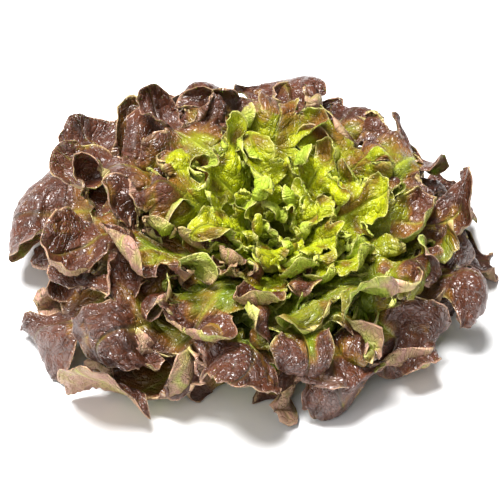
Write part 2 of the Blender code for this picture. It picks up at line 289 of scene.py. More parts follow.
def coarseTree(leaf, extra):
    rows = outlineRows(leaf["lobes"], leaf["length"])
    points, reach = leafSurface(leaf, rows, head["across"])
    toTip = np.clip(reach / leaf["length"], 0, 1)
    rib = head["rib"] * leaf["length"] / head["reach"][0] * (1 - toTip)
    rib = rib * (1 - np.abs(head["across"]))
    verts, faces = closedBlade(points, head["blade"] + rib + extra, np.diff(rows[1][:, 0]) < 0)
    return BVHTree.FromPolygons(verts.tolist(), faces.tolist())


def isClear(leaf, others):
    trees = (coarseTree(leaf, head["clearance"]), coarseTree(leaf, 0.0))
    return not any(tree.overlap(other) for tree in trees for other in (*others, tree))


def stumpMesh():
    turn = 2 * np.pi * np.arange(stump["sides"]) / stump["sides"]
    rings = [np.stack([r * np.cos(turn), r * np.sin(turn), np.full(len(turn), h)], -1)
             for r, h in stump["outline"]]
    points = np.concatenate([[(0.0, 0.0, 0.0)], *rings, [(0.0, 0.0, stump["top"])]])
    side = np.arange(stump["sides"])
    after = (side + 1) % stump["sides"]
    top = len(points) - 1
    last = 1 + (len(rings) - 1) * stump["sides"]
    faces = [np.stack([0 * side, 1 + after, 1 + side], -1),
             np.stack([last + side, last + after, 0 * side + top], -1)]
    for ring in range(len(rings) - 1):
        low = 1 + ring * stump["sides"]
        high = low + stump["sides"]
        faces.append(np.stack([low + side, low + after, high + after], -1))
        faces.append(np.stack([low + side, high + after, high + side], -1))
    return leaned(points), np.concatenate(faces)


def arrangeLeaves():
    points, faces = stumpMesh()
    stem = BVHTree.FromPolygons(points.tolist(), faces.tolist())
    leaves, placed = [], [stem]
    for order in range(head["leafCount"]):
        for attempt in range(head["mostDraws"]):
            leaf = newLeaf(order, attempt)
            if isClear(leaf, placed):
                break
        leaves.append(leaf)
        placed.append(coarseTree(leaf, head["clearance"]))
    trees = placed[1:]
    for order, leaf in enumerate(leaves):
        others = [stem] + trees[:order] + trees[order + 1:]
        lobes = reversed(range(1, len(leaf["lobes"])))
        places = [(leaf["tipShare"], 0)]
        places += [(leaf["share"], (side, lobe)) for lobe in lobes for side in (0, 1)]
        for shares, place in places:
            for share in head["sharesTried"]:
                shares[place] = share
                if isClear(leaf, others):
                    break
        trees[order] = coarseTree(leaf, head["clearance"])
    return leaves


# The finer leaves. Shares are of the lobe, the tip or the leaf, and lengths are in metres

leafForm = {
    "finer": 6,  # rows for each row of the solid
    "columns": 53, "stripColumns": 0.24,  # columns in all, and the share of them between the lobes
    "columnEasing": 0.25,  # how much closer together they come towards the rim

    # a lobe: its size of the solid's, longer ones by leaf order, and how it widens and narrows
    "lobeSize": (1.00, 1.20),
    "longer": {1: 1.12, 2: 1.24, 3: 1.12, 6: 1.12, 7: 1.12, 10: 1.12, 11: 1.24, 13: 1.12, 20: 1.16},
    "bluntness": 0.42, "leastOut": 0.0004,
    "headWidth": (1.1, 1.7), "headFrom": (0.1, 0.7), "neck": 0.34, "neckEnds": 0.55,

    # the tip, and its shoulders: first width, what they gain and where they are full
    "tipSize": 0.52, "tipReach": 0.14, "tipTaper": 3, "leastTaper": 0.0004,
    "tipShoulders": (0.3, 0.8, 0.4),

    # scallops of a rim, how many and how deep, and the height of the waves that go with them
    "scallops": (1.3, 2.7), "scallop": (0.0, 0.09), "tipScallops": (1.6, 2.6),
    "tipScallop": (0.03, 0.12), "pucker": 0.0030, "puckerMiddle": 0.6, "puckerGain": (0.4, 5),

    # bends: seeds by leaf order, where a lobe leaves the leaf's surface, how far its flank is from
    # the next one's, and how much of its drop is given back
    "seed": 903,
    "seeds": {1: 920, 2: 930, 3: 950, 5: 930, 6: 910, 7: 910, 9: 920, 10: 940, 11: 950, 13: 930,
              18: 910, 22: 920, 23: 930, 25: 910, 28: 940},
    "leavesSurface": (0.0, 0.40), "liftFrom": (0.05, 0.55), "curlWidth": 1.1,
    "shingle": 0.0040, "raise": 0.5,

    # the tip's bends: radians up or down, and the chance of down in the oldest and youngest leaf
    "tipTurn": ((-1.9, -1.0), (1.2, 2.3)), "tipDown": (0.75, 0.3), "tipStays": 0.25,
    "tipFold": (0.5, 1.2), "tipFoldWidth": 0.22, "tipLift": (0.0, 0.5), "tipPucker": 8,

    # ruffles at the rim, which drift by radians, and slow waves of the whole blade
    "ruffle": 0.0012, "ruffleLength": 0.013, "ruffleFade": 0.005, "ruffleDrift": 1.8,
    "ruffleFrom": (0.12, 0.35), "warp": 0.020, "warpFrom": (0.2, 0.6),

    # blisters between the veins, and what is left of them at the midrib and the rim
    "blister": 0.0025, "blisterSize": 0.0080, "blisterSlope": 0.24, "blisterSwell": (0.35, 1.0),
    "blisterSinks": 0.4, "blisterFrom": (0.1, 0.4), "blisterAtRib": 0.3, "blisterAtRim": 0.35,
    "cellRows": 0.87, "cellJitter": 0.33, "cellDrift": 0.3,

    # widths of the veins, how deep a lateral vein lies, and how thick rim and midrib are
    "ribWidth": 0.0034, "lateralWidth": 0.0009, "fineVeinWidth": 0.10, "lateralDepth": 0.0005,
    "rimThickness": 0.00045, "rimFade": 0.004, "ribThickness": 0.0020,
    "lobesApart": 0.05,  # so that the rim of one lobe isn't near the points of the next
}

# how lobes bend: radians at the rim along the lobe and across it (down is positive), and the share
# of the lobe that bends along it. How often each is met follows the leaf's age
lobeBends = {
    "hood": ((1.2, 2.2), (1.1, 1.8), (0.55, 0.85)), "roll": ((2.2, 3.4), (0.3, 0.9), (0.45, 0.70)),
    "saddle": ((-1.7, -0.9), (1.0, 1.6), (0.5, 0.8)),
    "spoon": ((-1.9, -1.1), (-1.7, -1.0), (0.6, 0.9)),
    "gutter": ((0.6, 1.5), (-1.5, -0.9), (0.4, 0.7)),
}
bendAges = (0.0, 0.45, 1.0)  # from the oldest leaf to the youngest
bendChances = {"hood": (0.40, 0.30, 0.14), "roll": (0.20, 0.14, 0.04), "saddle": (0.14, 0.14, 0.12),
               "spoon": (0.16, 0.28, 0.46), "gutter": (0.10, 0.14, 0.24)}
leanOpens = 0.45  # on the side that the head leans towards, lobes bend as those of older leaves do


def ripple(seed, count, x, y, low, high):
    # a smooth random field of x and y: a sum of seeded plane waves, low to high cycles a unit
    draw = np.random.default_rng(seed)
    turn = draw.uniform(0, 2 * np.pi, count)
    pitch = 2 * np.pi * draw.uniform(low, high, count)
    phase = draw.uniform(0, 2 * np.pi, count)
    waves = [np.sin(p * (np.cos(t) * x + np.sin(t) * y) + f) for t, p, f in zip(turn, pitch, phase)]
    return sum(waves) / math.sqrt(count / 2)


def cells(seed, x, y, size):
    # cells round a grid of jittered seeds: how much nearer each point is to its own seed than to
    # the next one, which is 0 on a border, and the number of its cell
    draw = np.random.default_rng(seed)
    across = np.arange(x.min() - size, x.max() + size, size)
    along = np.arange(y.min() - size, y.max() + size, size * leafForm["cellRows"])
    across, along = np.meshgrid(across, along)
    across = across + size / 2 * (np.arange(len(across)) % 2)[:, None]
    jitter = draw.uniform(-leafForm["cellJitter"], leafForm["cellJitter"], (across.size, 2)) * size
    seeds = np.stack([across.ravel(), along.ravel()], -1) + jitter
    points = np.stack([x.ravel(), y.ravel()], -1)
    far = np.linalg.norm(points[:, None] - seeds[None], axis=-1)
    order = np.argpartition(far, 1, axis=1)[:, :2]
    near = np.take_along_axis(far, order, axis=1)
    own = order[np.arange(len(points)), near.argmin(1)]
    return (near.max(1) - near.min(1)).reshape(x.shape), own.reshape(x.shape)


def arc(distance, radians, size):
    # a straight line bent into an arc that has turned by radians at the distance size: how far each
    # point moves along the line, and off it (down for positive radians)
    angle = radians * distance / size
    small = np.abs(angle) < 1e-4
    off = -distance * np.where(small, angle / 2, (1 - np.cos(angle)) / np.where(small, 1, angle))
    return distance * (np.sinc(angle / np.pi) - 1), off


def unit(vectors):
    return vectors / (np.linalg.norm(vectors, axis=-1, keepdims=True) + 1e-12)


def bendSeed(leaf):
    return leafForm["seeds"].get(leaf["order"], leafForm["seed"])


def drawBends(leaf):
    # for each side of each lobe: radians along and across, and the share that bends
    draw = np.random.default_rng((leaf["order"], bendSeed(leaf)))
    opens = max(math.cos(leaf["azimuth"] - head["leanTowards"]), 0)
    age = leaf["depth"] - leanOpens * opens
    chances = np.array([np.interp(age, bendAges, bendChances[kind]) for kind in lobeBends])
    kinds = draw.choice(len(lobeBends), (2, len(leaf["lobes"])), p=chances / chances.sum())
    low, high = np.moveaxis(np.array(list(lobeBends.values()))[kinds], -1, 0)
    return np.moveaxis(draw.uniform(low, high), -1, 0)


def lobeSizes(leaf):
    # start, end, half width at start and end, and bulge of every lobe, in metres
    return np.array([part[:5] for part in leaf["lobes"]]).T * leaf["length"]


def lobeGuides(leaf, widest, steps=25):
    # the middle line of every lobe on both sides of the leaf, at even steps of its length: its
    # points, the directions along it, across it and off the leaf (up), and how long it is
    starts, ends, width0, width1, bulge = lobeSizes(leaf)
    strip, bulge = (width0 + width1) / 2, bulge + 0.001
    share = np.linspace(0, 1, steps)
    side = np.array((-1.0, 1.0))[:, None, None]
    x = side * (strip[:, None] + bulge[:, None] * share)
    along = ((starts + ends) / 2)[:, None] + 0 * x
    roll = (leaf["roll"] * leaf["share"])[..., None] * (x / (strip + bulge)[:, None]) ** 2
    x = x * (1 - head["rollShortens"] * roll**2)
    line = sheetPoint(leaf, x, along, roll, widest)[0]
    beside = sheetPoint(leaf, x, along + 0.001, roll, widest)[0]
    out = unit(np.gradient(line, axis=2))
    across = beside - line
    across = unit(across - out * (across * out).sum(-1, keepdims=True))
    off = np.cross(across, out) * side[..., None]
    far = np.linalg.norm(np.diff(line, axis=2), axis=-1).cumsum(-1)
    far = np.concatenate([0 * far[..., :1], far], axis=-1)
    guides = np.concatenate([line, out, across, off], axis=-1)
    for place in np.ndindex(far.shape[:2]):
        even = share * far[place][-1]
        columns = [np.interp(even, far[place], column) for column in guides[place].T]
        guides[place] = np.stack(columns, -1)
    return guides, far[..., -1]


def onGuides(guides, side, number, share):
    # the point and directions of a lobe's guide at each share of its length
    place = np.clip(share, 0, 1) * (guides.shape[2] - 1)
    below = np.minimum(place.astype(int), guides.shape[2] - 2)
    part = (place - below)[..., None]
    found = guides[side, number, below] * (1 - part) + guides[side, number, below + 1] * part
    point, out, across, off = np.split(found, 4, axis=-1)
    return point, unit(out), unit(across), unit(off)


def drawScallops(draw, side, number, share, count):
    # a cosine wave along each lobe's rim: the share of the lobe's size that is left, and the height
    # of the wave that goes with it
    form, shape = leafForm, (2, count)
    cycles, depth = draw.uniform(*form["scallops"], shape), draw.uniform(*form["scallop"], shape)
    cycles[:, -1] = draw.uniform(*form["tipScallops"], 2)
    depth[:, -1] = draw.uniform(*form["tipScallop"], 2)
    phase, sign = draw.uniform(0, 1, shape), draw.choice((-1, 1), shape)
    cycles, depth, phase, sign = (drawn[side, number] for drawn in (cycles, depth, phase, sign))
    wave = 0.5 - 0.5 * np.cos(2 * np.pi * (cycles * share + phase))
    least, gain = form["puckerGain"]
    return 1 - depth * (1 - wave), (wave - form["puckerMiddle"]) * sign * (least + gain * depth)


def flatLeaf(leaf, lengths):
    # the leaf laid flat, with round lobes. For each point: its lobe's number and side, u from one
    # flank of the lobe (-1) to the other (1), how far out it is from the strip along the midrib, in
    # metres and as a share (far) of the lobe's height (tall), how far aside of the lobe's middle
    # line, and its place across (x) and along (y) the leaf
    form, length = leafForm, leaf["length"]
    draw = np.random.default_rng((leaf["order"], 901))
    rows = outlineRows(leaf["lobes"], length, form["finer"], True)
    number, share = rows[2].astype(int), rows[5]
    starts, ends, width0, width1, bulge = lobeSizes(leaf)
    count = len(starts)
    isTip, u = number == count - 1, 2 * share - 1
    column = np.linspace(-1, 1, form["columns"])
    side = (column > 0).astype(int)
    longer = form["longer"].get(leaf["order"], 1.0)
    size = draw.uniform(*form["lobeSize"], (2, count))[side, number] * longer
    scallop, pucker = drawScallops(draw, side, number, share, count)
    wide = draw.uniform(*form["headWidth"], (2, count))[side, number] * (number > 0)

    # out: a blunt half ellipse for each lobe, and shoulders that narrow for the tip
    beyond = np.clip((np.abs(column) - form["stripColumns"]) / (1 - form["stripColumns"]), 0, 1)
    beyond = beyond * (1 + form["columnEasing"] - form["columnEasing"] * beyond**2)
    taper = 1 - share ** form["tipTaper"]
    first, more, until = form["tipShoulders"]
    tipEdge = np.sqrt(np.clip(taper, 0, 1)) * (first + more * smoothStep(0, until, share))
    edge = np.where(isTip, tipEdge, (1 - u * u).clip(0, 1) ** form["bluntness"])
    tall = np.where(isTip, form["tipSize"] * bulge[-1], lengths[side, number]) * size
    out = np.maximum(tall * edge * scallop, form["leastOut"]) * beyond
    strip = width0[number] + (width1 - width0)[number] * share
    strip = np.where(isTip, strip * np.sqrt(np.clip(taper, form["leastTaper"], 1)), strip)

    # aside: less at a lobe's neck and more at its head
    far = out / tall
    half = (ends - starts)[number] / 2
    neck = form["neck"] * np.sin(np.pi * np.clip(far / form["neckEnds"], 0, 1)) * (number > 0)
    aside = half * u * (1 - neck + wide * (1 - u * u) * smoothStep(*form["headFrom"], far))
    aside = np.where(isTip, half * (u + 1) * (1 + form["tipReach"]) * longer - half, aside)
    inStrip = np.clip(np.abs(column) / form["stripColumns"], 0, 1)
    x = (strip * inStrip + out) * np.sign(column)
    y = (starts + ends)[number] / 2 + aside
    return {"number": number, "side": side, "u": u, "out": out, "tall": tall, "far": far, "x": x,
            "y": y, "aside": aside, "half": half, "isTip": isTip, "strip": strip, "pucker": pucker}


def bendLobes(leaf, flat, points, guides, lengths):
    # moves the outer part of each lobe from the leaf's surface to its guide, bent along and across
    form = leafForm
    side, number, out, tall = (flat[k] for k in ("side", "number", "out", "tall"))
    guideLength = lengths[side, number]
    point, outward, across, off = onGuides(guides, side, number, out / guideLength)
    point = point + outward * np.maximum(out - guideLength, 0)[..., None]
    alongTurn, acrossTurn, part = drawBends(leaf)[:, side, number]
    half = flat["half"] * form["curlWidth"]
    lift = smoothStep(*form["liftFrom"], flat["far"])
    bending = np.maximum(out - tall * (1 - part), 0)
    back, dip = arc(bending, alongTurn, tall * part)
    angle = alongTurn * bending / (tall * part)
    aside, sag = arc(flat["aside"], acrossTurn * lift, half)
    raised = form["raise"] * half * (1 - np.cos(acrossTurn)) / acrossTurn * lift
    scale = leaf["length"] / head["reach"][0]
    shingle = form["shingle"] * flat["u"] * lift * scale
    pucker = form["pucker"] * flat["pucker"] * lift**2 * scale**0.5
    height = sag + raised + shingle + pucker
    tilted = off * np.cos(angle)[..., None] + outward * np.sin(angle)[..., None]
    bent = point + outward * back[..., None] + off * dip[..., None]
    bent = bent + across * (flat["aside"] + aside)[..., None] + tilted * height[..., None]
    weight = smoothStep(*form["leavesSurface"], flat["far"]) * (number > 0) * ~flat["isTip"]
    return points + (bent - points) * weight[..., None]


def bendTip(leaf, flat, points):
    # the tip bends as one lobe: folded along the midrib, and its end turned up or down
    form, length, middle = leafForm, leaf["length"], points.shape[1] // 2
    draw = np.random.default_rng((leaf["order"], bendSeed(leaf) + 1))
    down = draw.uniform() < np.interp(leaf["depth"], (0, 1), form["tipDown"])
    turn = draw.uniform(*form["tipTurn"][int(down)])
    fold = math.copysign(draw.uniform(*form["tipFold"]), turn * draw.choice((-1, 1, 1)))
    start = leaf["lobes"][-1][0] * length
    stays, width = form["tipStays"] * (length - start), form["tipFoldWidth"] * length
    forward = unit(np.gradient(points[:, middle], axis=0))[:, None]
    across = unit(points[:, middle + 1] - points[:, middle - 1])[:, None]
    off = unit(np.cross(forward, across))
    lift = smoothStep(*form["tipLift"], (flat["y"] - start) / (length - start)) * flat["isTip"]
    bends = (1 - form["tipStays"]) * (length - start)
    back, dip = arc(np.maximum(flat["y"] - start - stays, 0), turn, bends)
    aside, sag = arc(flat["x"], fold * lift, width)
    raised = form["raise"] * width * (1 - math.cos(fold)) / fold * lift
    pucker = form["pucker"] * flat["pucker"] * lift * (2 * flat["x"] / length) ** 2
    height = dip + (sag + pucker * form["tipPucker"]) + raised
    move = forward * back[..., None] + across * aside[..., None] + off * height[..., None]
    return points + move * flat["isTip"][..., None]


def onSurface(leaf, flat, widest):
    # the flat leaf put on the solid's middle surface, with its outer part held at the solid's rim
    number, strip, tip, x = flat["number"], flat["strip"], flat["isTip"], flat["x"]
    bulge = lobeSizes(leaf)[4][number] + 0.001
    shown = np.minimum(np.abs(x), strip + 0.6 * bulge + 10 * tip) * np.sign(x)
    roll = (leaf["roll"] * leaf["share"])[flat["side"], number] * (1 - flat["u"] ** 2)
    roll = roll * (x / (strip + bulge)) ** 2 * ~tip * (number > 0) + tipRoll(leaf, flat["y"])
    return sheetPoint(leaf, shown, flat["y"], roll, widest)[0]


def rimDistance(flat, grid):
    # how far each point is from the rim of its own lobe, measured flat, and how far along the rim
    # the nearest place on it is
    x, rim = flat["x"], gridRim(*grid)
    place = np.stack([x, flat["y"], leafForm["lobesApart"] * flat["number"] + 0 * x], -1)
    place = place.reshape(-1, 3)
    away = np.linalg.norm(place[:, None] - place[rim][None], axis=-1)
    steps = np.linalg.norm(np.diff(place[rim, :2], axis=0), axis=1)
    rimLength = np.concatenate([[0], np.cumsum(steps)])
    return away.min(1).reshape(grid), rimLength[away.argmin(1)].reshape(grid)


def leafRelief(leaf, flat, toRim, rimAt):
    # how high each point lies over the smooth leaf: a sine wave along the rim that fades inwards,
    # slow waves, and a dome in each cell between the veins. Also how near it is to the midrib, to
    # the lateral vein in its lobe's middle and to a fine vein, from 0 to 1
    form, order, length = leafForm, leaf["order"], leaf["length"]
    scale = length / head["reach"][0]
    x, reach = flat["x"], flat["y"] / length
    drift = form["ruffleDrift"] * ripple((order, 5), 5, x / length, reach, 0.8, 2.5)
    ruffle = np.sin(2 * np.pi * rimAt / (form["ruffleLength"] * (0.5 + 0.5 * scale)) + drift)
    fade = np.exp(-toRim / (form["ruffleFade"] * scale))
    height = form["ruffle"] * scale**0.6 * ruffle * fade * smoothStep(*form["ruffleFrom"], reach)
    warp = ripple((order, 9), 7, x / length, reach, 1.2, 3.2)
    height = height + form["warp"] * length * warp * smoothStep(*form["warpFrom"], reach)

    size = form["blisterSize"] * (0.62 + 0.38 * scale)
    drift = form["cellDrift"] * size * ripple((order, 7), 5, x / length, reach, 2, 5)
    border, cell = cells((order, 6), x + drift, flat["y"], size)
    dome = 1 - np.exp(-border / (form["blisterSlope"] * size))
    swell = np.random.default_rng((order, 8)).uniform(*form["blisterSwell"], cell.max() + 1)[cell]
    atRib, atRim = form["blisterAtRib"], form["blisterAtRim"]
    blister = form["blister"] * scale**0.7 * (dome * swell - form["blisterSinks"])
    blister = blister * (atRib + (1 - atRib) * smoothStep(0.0, 0.10, np.abs(x) / length))
    blister = blister * smoothStep(*form["blisterFrom"], reach)
    blister = blister * (atRim + (1 - atRim) * smoothStep(0, 0.05, toRim / length))

    lateral = np.exp(-((flat["aside"] / form["lateralWidth"]) ** 2)) * (1 - flat["far"] * 0.8)
    lateral = lateral * (flat["number"] > 0) * ~flat["isTip"]
    ribWidth = form["ribWidth"] * (1.0 - reach).clip(0.05, None) * scale + 0.0005
    rib = np.exp(-((x / ribWidth) ** 2))
    height = height + blister * (1 - np.maximum(rib, lateral)) - form["lateralDepth"] * lateral
    return height, {"rib": rib, "lateral": lateral,
                    "fineVeins": np.exp(-border / (form["fineVeinWidth"] * size))}


def fineLeaf(leaf):
    # the finer leaf's mesh, its flat places, and its points with what the colours follow
    form, length = leafForm, leaf["length"]
    widest = outlineRows(leaf["lobes"], length)[1].max()
    guides, lengths = lobeGuides(leaf, widest)
    flat = flatLeaf(leaf, lengths)
    points = bendLobes(leaf, flat, onSurface(leaf, flat, widest), guides, lengths)
    points = bendTip(leaf, flat, points)
    grid = points.shape[:2]
    closing = np.diff(np.abs(flat["x"][:, 0])) < 0
    normals = pointNormals(points.reshape(-1, 3), gridTriangles(*grid, closing))
    toRim, rimAt = rimDistance(flat, grid)
    height, veins = leafRelief(leaf, flat, toRim, rimAt)
    points = aboveFloor(points - normals.reshape(points.shape) * height[..., None])
    blade, rim = head["blade"], form["rimThickness"]
    thickness = rim + (blade - rim) * smoothStep(0, form["rimFade"], toRim)
    narrowing = (1 - flat["y"] / length).clip(0, 1)
    scale = length / head["reach"][0]
    thickness = thickness + form["ribThickness"] * veins["rib"] * narrowing * scale
    verts, faces = closedBlade(points, thickness, closing)
    return verts, faces, flat, {"points": points, "toRim": toRim, **veins}


leafColour = {
    "heartCentre": (0.012, -0.022, 0.060),
    "greenRadius": 0.062, "redRadius": 0.086,  # round that centre, from the last green to full red
    "drift": 0.010, "patch": 0.008,  # how far those wander, from point to point and lobe to lobe
    "redFrom": (0.30, 0.62), "redAges": (0.55, 0.80),  # shares of the leaf and of the head's depth
    "youngRed": 0.30, "hiddenRed": 0.42,  # what is left in young leaves and under other lobes
    "edge": 0.25, "edgeWidth": 0.006, "blush": 0.46, "tint": 0.27,  # red on green leaves, at most
    # the rim width is how far in from each rim the painted highlight along it reaches
    "redHeartLeaves": (29, 34), "redHeart": 0.9, "limeAges": (0.38, 0.80), "rimHighlightWidth": 0.0005,
}


def leafFields(leaf, flat, made):
    # what the colours follow, from 0 to 1: red grows with the distance from the heart, towards the
    # tip and with age; blush, tint and edge add some to lobes, spots and rims
    look, order, depth, length = leafColour, leaf["order"], leaf["depth"], leaf["length"]
    draw = np.random.default_rng((order, 902))
    lobe, shape = (flat["side"], flat["number"]), (2, len(leaf["lobes"]))
    x, y, toRim, rib = flat["x"], flat["y"], made["toRim"], made["rib"]
    reach = y / length
    far = np.linalg.norm(made["points"] - np.array(look["heartCentre"]), axis=-1)
    drift = look["drift"] * ripple((order, 21), 6, x * 1000, y * 1000, 1 / 60, 1 / 18)
    patch = draw.uniform(-look["patch"], look["patch"], shape)[lobe]
    blush = smoothStep(0.45, 1.0, draw.uniform(0, 1, shape)[lobe])
    out = smoothStep(look["greenRadius"], look["redRadius"], far + drift + patch)
    tipwards = smoothStep(*look["redFrom"], reach + 4 * drift)
    aged = look["youngRed"] + (1 - look["youngRed"]) * (1 - smoothStep(*look["redAges"], depth))
    lobeOut = np.where(flat["isTip"], 1, flat["far"])
    exposed = np.maximum(smoothStep(0.0, 0.5, lobeOut), smoothStep(0.68, 0.85, reach))
    shown = look["hiddenRed"] + (1 - look["hiddenRed"]) * exposed
    edge = np.exp(-toRim / look["edgeWidth"]) * smoothStep(0.4, 0.9, reach)
    red = out * tipwards * aged * shown + look["edge"] * edge * aged
    blush = look["blush"] * (blush * smoothStep(0.0, 0.12, toRim / length))
    blush = blush * smoothStep(0.35, 0.75, reach) * (1 - 0.3 * smoothStep(0.7, 1, depth))
    tint = smoothStep(0.0, 1.6, ripple((order, 22), 7, x, y, 30, 85))
    red = np.maximum(np.maximum(red, blush), look["tint"] * tint * smoothStep(0.35, 0.7, reach))
    if order in look["redHeartLeaves"]:
        cup = smoothStep(0.15, 0.55, lobeOut) * smoothStep(0.4, 0.6, reach)
        red = np.maximum(red, look["redHeart"] * cup)
    red = np.clip(red, 0, 1) * (1 - 0.30 * rib * (1 - reach).clip(0, 1))
    lime = smoothStep(*look["limeAges"], depth) * (0.65 + 0.35 * smoothStep(0.2, 0.8, reach))
    vein = np.maximum(np.maximum(rib, 0.35 * made["lateral"]), 0.12 * made["fineVeins"])
    smooth = np.clip(np.maximum(rib, 1 - smoothStep(0.15, 0.45, reach)), 0, 1)
    # rim marks the thin line along each rim where a highlight is painted into the colour
    return {"red": red, "lime": lime, "rim": np.exp(-toRim / look["rimHighlightWidth"]), "vein": vein,
            "smooth": smooth}


def feed(tree, node, inputs):
    # links what varies to a node's inputs and sets what doesn't
    for name, value in inputs.items():
        if isinstance(value, Wire):
            tree.links.new(value.socket, node.inputs[name])
        else:
            node.inputs[name].default_value = value


class Wire:
    # one socket of a shader's node tree; operators add Math nodes, and node() adds any other
    def __init__(self, tree, socket=None):
        self.tree, self.socket = tree, socket

    def node(self, kind, inputs, output=0, **settings):
        made = self.tree.nodes.new(kind)
        for name, value in settings.items():
            setattr(made, name, value)
        feed(self.tree, made, inputs)
        return Wire(self.tree, made.outputs[output])

    def maths(self, operation, *values, kind="ShaderNodeMath", **settings):
        return self.node(kind, dict(enumerate(values)), operation=operation, **settings)

    def __add__(self, other): return self.maths("ADD", self, other)
    def __radd__(self, other): return self.maths("ADD", other, self)
    def __sub__(self, other): return self.maths("SUBTRACT", self, other)
    def __rsub__(self, other): return self.maths("SUBTRACT", other, self)
    def __mul__(self, other): return self.maths("MULTIPLY", self, other)
    def __rmul__(self, other): return self.maths("MULTIPLY", other, self)
    def clamped(self): return self.maths("ADD", self, 0.0, use_clamp=True)

    def mix(self, factor, first, second):
        return self.node("ShaderNodeMix", {0: factor, 6: first, 7: second}, 2, data_type="RGBA")

    def attribute(self, name):
        return self.node("ShaderNodeAttribute", {}, "Fac", attribute_name=name)

    def objectPlace(self):
        return self.node("ShaderNodeTexCoord", {}, "Object")

    def noise(self, place, settings, output="Fac"):
        return self.node("ShaderNodeTexNoise", {"Vector": place, **settings}, output)

    def voronoi(self, place, scale, feature):
        inputs = {"Vector": place, "Scale": scale}
        return self.node("ShaderNodeTexVoronoi", inputs, "Distance", feature=feature)

    def bump(self, height, strength, distance):
        inputs = {"Height": height, "Strength": strength, "Distance": distance}
        return self.node("ShaderNodeBump", inputs)


def rgb(r, g, b):
    return (r, g, b, 1.0)


def newMaterial(name):
    made = bpy.data.materials.new(name)
    made.use_nodes = True
    tree = made.node_tree
    return made, tree, tree.nodes["Principled BSDF"], Wire(tree)


leafShade = {
    "lime": rgb(0.46, 0.50, 0.001), "green": rgb(0.135, 0.195, 0.001),
    "olive": rgb(0.185, 0.130, 0.002), "bronze": rgb(0.215, 0.080, 0.008),
    "burgundy": rgb(0.106, 0.028, 0.011), "dark": rgb(0.028, 0.009, 0.004),
    "underGreen": rgb(0.34, 0.44, 0.015), "underRed": rgb(0.34, 0.160, 0.120),
    # pale colours of the highlight painted along the thin rims, for green leaves and for red ones
    "rimHighlightGreen": rgb(0.84, 0.84, 0.24), "rimHighlightRed": rgb(0.74, 0.42, 0.27),
    "rib": rgb(0.48, 0.54, 0.05),
    # where each shade comes in as the leaf gets redder, and how fast
    "redSteps": {"olive": (0.0, 4.5), "bronze": (0.20, 4.5), "burgundy": (0.42, 4.0)},
    "roughness": 0.33, "coat": 0.08, "coatRoughness": 0.26,
    "specular": {"outer_leaf": 0.90, "middle_leaf": 0.75, "heart_leaf": 0.45},
    "subsurface": {"outer_leaf": 0.05, "middle_leaf": 0.10, "heart_leaf": 0.15},
    "glowColour": (0.6, 1.0, 0.25), "glowDepth": 0.003,
    "patch": {"Scale": 48.0, "Detail": 2.5, "Distortion": 0.6},
    "mottle": {"Scale": 85.0, "Detail": 4.0, "Roughness": 0.6},
    "speck": {"Scale": 420.0, "Detail": 3.0}, "broad": {"Scale": 26.0, "Detail": 2.0},
    "swirl": {"Scale": 120.0, "Detail": 1.0}, "swirlWidth": (0.005, 0.005, 0.0),
    "blisterScale": 170.0, "smallScale": 3.1, "blisterDistance": 0.0042, "bumpStrength": 0.9,
}


